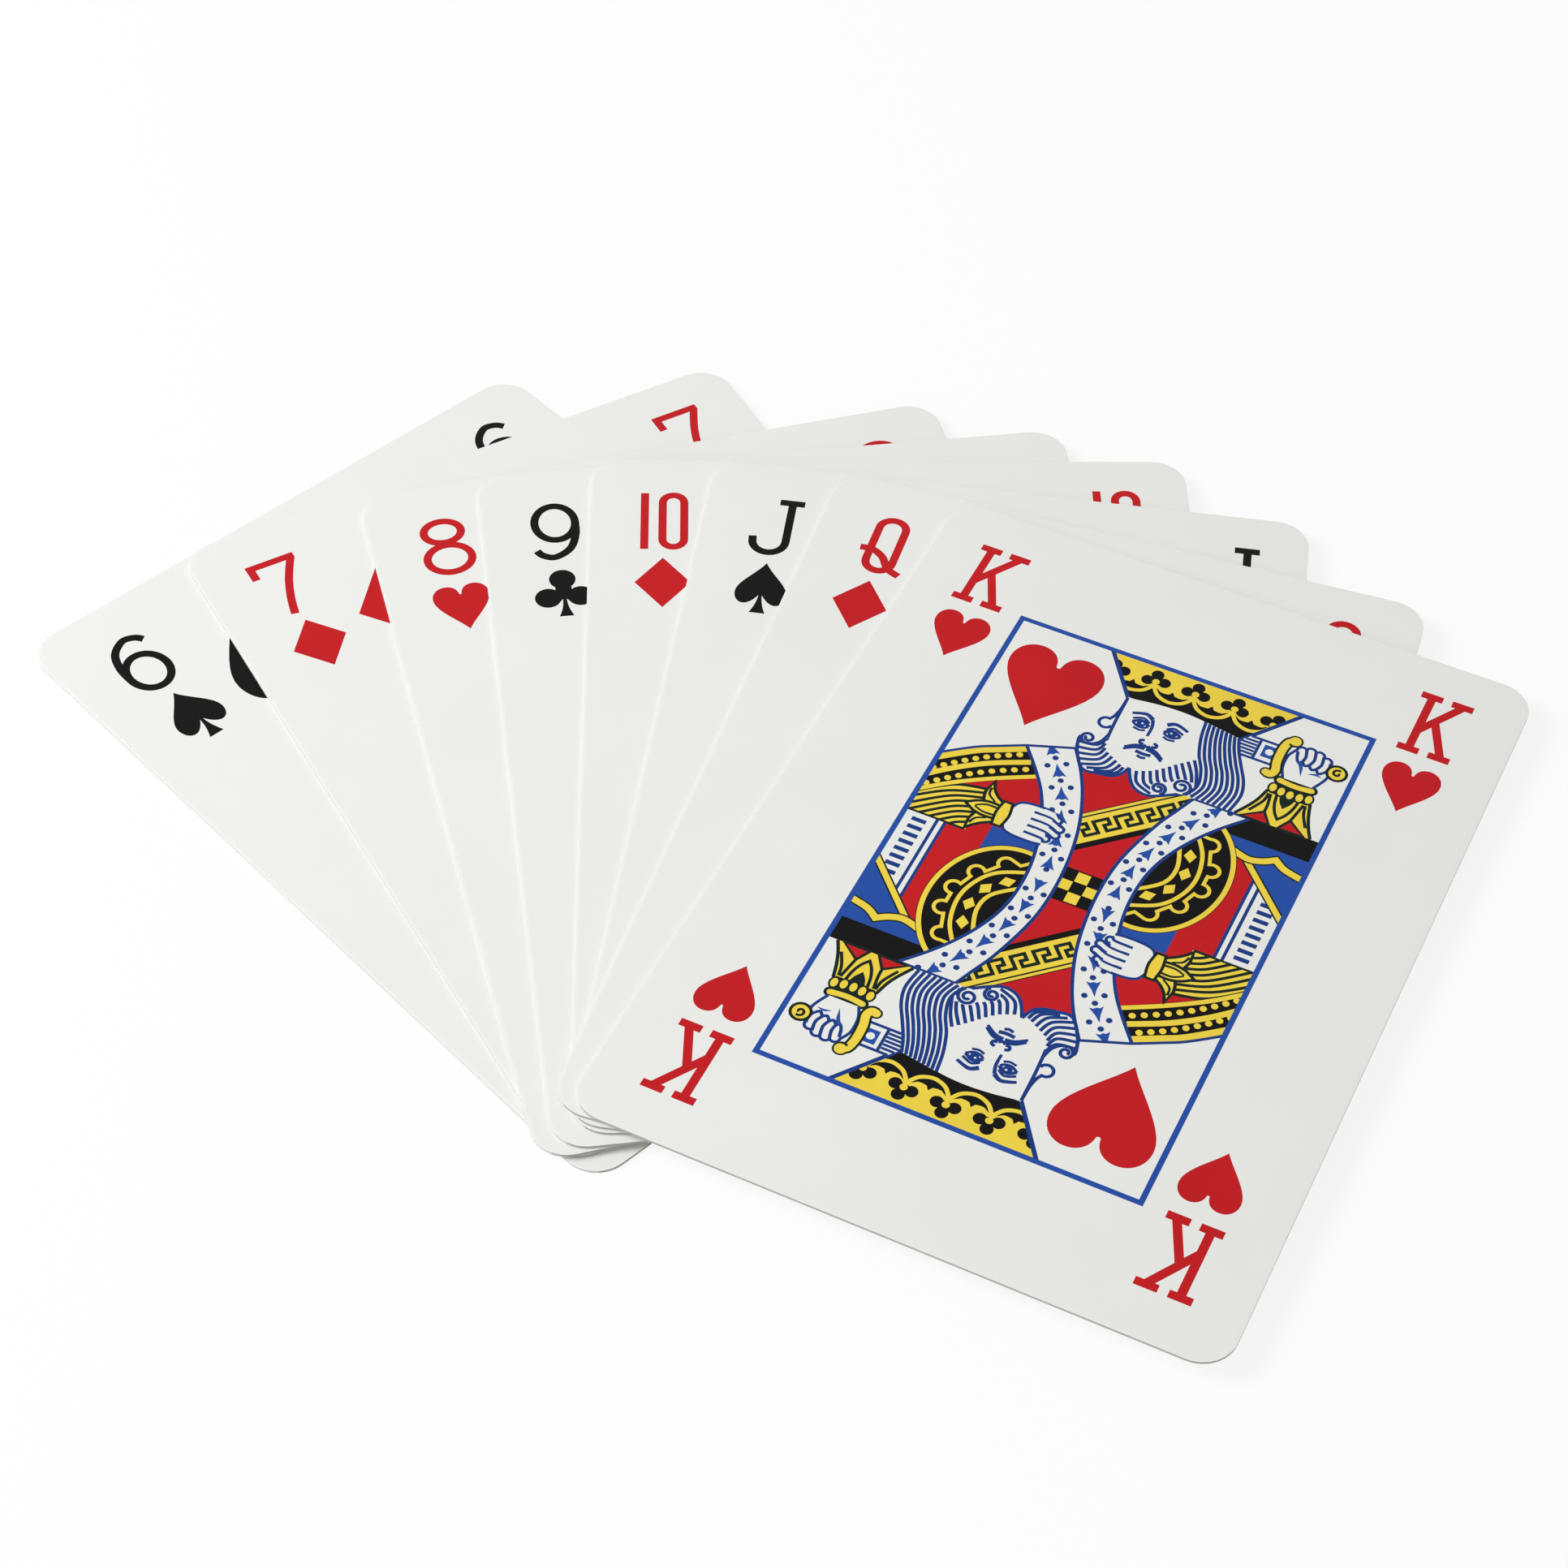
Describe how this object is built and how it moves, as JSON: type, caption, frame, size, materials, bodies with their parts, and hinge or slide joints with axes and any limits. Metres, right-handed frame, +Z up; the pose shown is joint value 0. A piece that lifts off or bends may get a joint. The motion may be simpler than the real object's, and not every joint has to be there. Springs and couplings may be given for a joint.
{
  "type": "playing cards",
  "caption": "Hand of poker-size playing cards spread face up in a fan, each card of two pasted paper sheets, turning on the card below so that the fan opens and closes.",
  "frame": {"origin": "middle of the fan's box, on the surface that the lowest card lies on", "axes": "+Z up out of the card faces, +X from the six towards the king, +Y towards the fan's open top"},
  "size_m": [0.1492, 0.1262, 0.0025],
  "materials": {
    "paper_face": "varnished satin",
    "paper_core": "matte",
    "paper_back": "varnished satin",
    "ink_red": "printed, varnished",
    "ink_black": "printed, varnished",
    "ink_blue": "printed, varnished",
    "ink_yellow": "printed, varnished"
  },
  "bodies": {
    "six_of_spades": {"six_of_spades_face": "paper_face", "six_of_spades_core": "paper_core", "six_of_spades_back": "paper_back"},
    "seven_of_diamonds": {"seven_of_diamonds_face": "paper_face", "seven_of_diamonds_core": "paper_core", "seven_of_diamonds_back": "paper_back"},
    "eight_of_hearts": {"eight_of_hearts_face": "paper_face", "eight_of_hearts_core": "paper_core", "eight_of_hearts_back": "paper_back"},
    "nine_of_clubs": {"nine_of_clubs_face": "paper_face", "nine_of_clubs_core": "paper_core", "nine_of_clubs_back": "paper_back"},
    "ten_of_diamonds": {"ten_of_diamonds_face": "paper_face", "ten_of_diamonds_core": "paper_core", "ten_of_diamonds_back": "paper_back"},
    "jack_of_spades": {"jack_of_spades_face": "paper_face", "jack_of_spades_core": "paper_core", "jack_of_spades_back": "paper_back"},
    "queen_of_diamonds": {"queen_of_diamonds_face": "paper_face", "queen_of_diamonds_core": "paper_core", "queen_of_diamonds_back": "paper_back"},
    "king_of_hearts": {"king_of_hearts_face": "paper_face", "king_of_hearts_core": "paper_core", "king_of_hearts_back": "paper_back"}
  },
  "joints": [
    {"name": "seven_spread", "type": "hinge", "parent": "six_of_spades", "child": "seven_of_diamonds", "pos_m": [-0.00966, -0.03273, 0], "axis": [0, 0, -1], "range_deg": [-13.4, 6.6]},
    {"name": "eight_spread", "type": "hinge", "parent": "seven_of_diamonds", "child": "eight_of_hearts", "pos_m": [-0.01803, -0.03428, 0], "axis": [0, 0, -1], "range_deg": [-14.07, 5.93]},
    {"name": "nine_spread", "type": "hinge", "parent": "eight_of_hearts", "child": "nine_of_clubs", "pos_m": [-0.01089, -0.05182, 0], "axis": [0, 0, -1], "range_deg": [-7.33, 12.67]},
    {"name": "ten_spread", "type": "hinge", "parent": "nine_of_clubs", "child": "ten_of_diamonds", "pos_m": [-0.00417, -0.05279, 0], "axis": [0, 0, -1], "range_deg": [-7.04, 12.96]},
    {"name": "jack_spread", "type": "hinge", "parent": "ten_of_diamonds", "child": "jack_of_spades", "pos_m": [-0.01178, -0.03545, 0], "axis": [0, 0, -1], "range_deg": [-9.03, 10.97]},
    {"name": "queen_spread", "type": "hinge", "parent": "jack_of_spades", "child": "queen_of_diamonds", "pos_m": [-0.01025, -0.03023, 0], "axis": [0, 0, -1], "range_deg": [-9.9, 10.1]},
    {"name": "king_spread", "type": "hinge", "parent": "queen_of_diamonds", "child": "king_of_hearts", "pos_m": [-0.01937, -0.04898, 0], "axis": [0, 0, -1], "range_deg": [-7.66, 12.34]}
  ]
}
